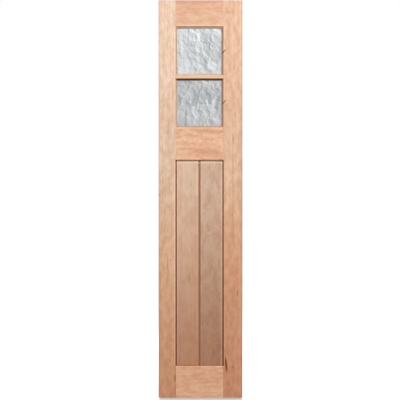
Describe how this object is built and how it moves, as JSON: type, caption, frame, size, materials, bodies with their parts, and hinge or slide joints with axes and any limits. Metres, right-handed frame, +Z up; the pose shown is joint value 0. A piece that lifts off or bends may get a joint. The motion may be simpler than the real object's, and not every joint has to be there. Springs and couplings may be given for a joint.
{
  "type": "door sidelight panel",
  "caption": "Tall narrow timber door sidelight: stacked square patterned-glass lights above a recessed panel of V-jointed boards, fixed in a frame beside a door.",
  "frame": {"origin": "middle of the bottom edge that stands on the sill, at half thickness", "axes": "+Z up the panel, +X to the right seen from outside, +Y indoors, so the outside face is at -Y"},
  "size_m": [0.43, 0.04, 2.04],
  "materials": {
    "stile_timber": "raw sanded light pinkish hardwood, grain along the height",
    "rail_timber": "raw sanded light pinkish hardwood, grain across the width",
    "board_timber": "raw sanded greyish pink hardwood, fine straight grain along the height",
    "bead_timber": "raw sanded hardwood moulding, grain along the bead",
    "patterned_glass": "translucent rolled glass with a flaked relief"
  },
  "bodies": {
    "root": {"bottom_rail": "rail_timber", "glazing_bar": "rail_timber", "left_panel_board": "board_timber", "left_stile": "stile_timber", "lower_back_bead_bottom": "bead_timber", "lower_back_bead_left": "bead_timber", "lower_back_bead_right": "bead_timber", "lower_back_bead_top": "bead_timber", "lower_front_bead_bottom": "bead_timber", "lower_front_bead_left": "bead_timber", "lower_front_bead_right": "bead_timber", "lower_front_bead_top": "bead_timber", "lower_pane": "patterned_glass", "middle_rail": "rail_timber", "right_panel_board": "board_timber", "right_stile": "stile_timber", "top_rail": "rail_timber", "upper_back_bead_bottom": "bead_timber", "upper_back_bead_left": "bead_timber", "upper_back_bead_right": "bead_timber", "upper_back_bead_top": "bead_timber", "upper_front_bead_bottom": "bead_timber", "upper_front_bead_left": "bead_timber", "upper_front_bead_right": "bead_timber", "upper_front_bead_top": "bead_timber", "upper_pane": "patterned_glass"}
  },
  "joints": []
}
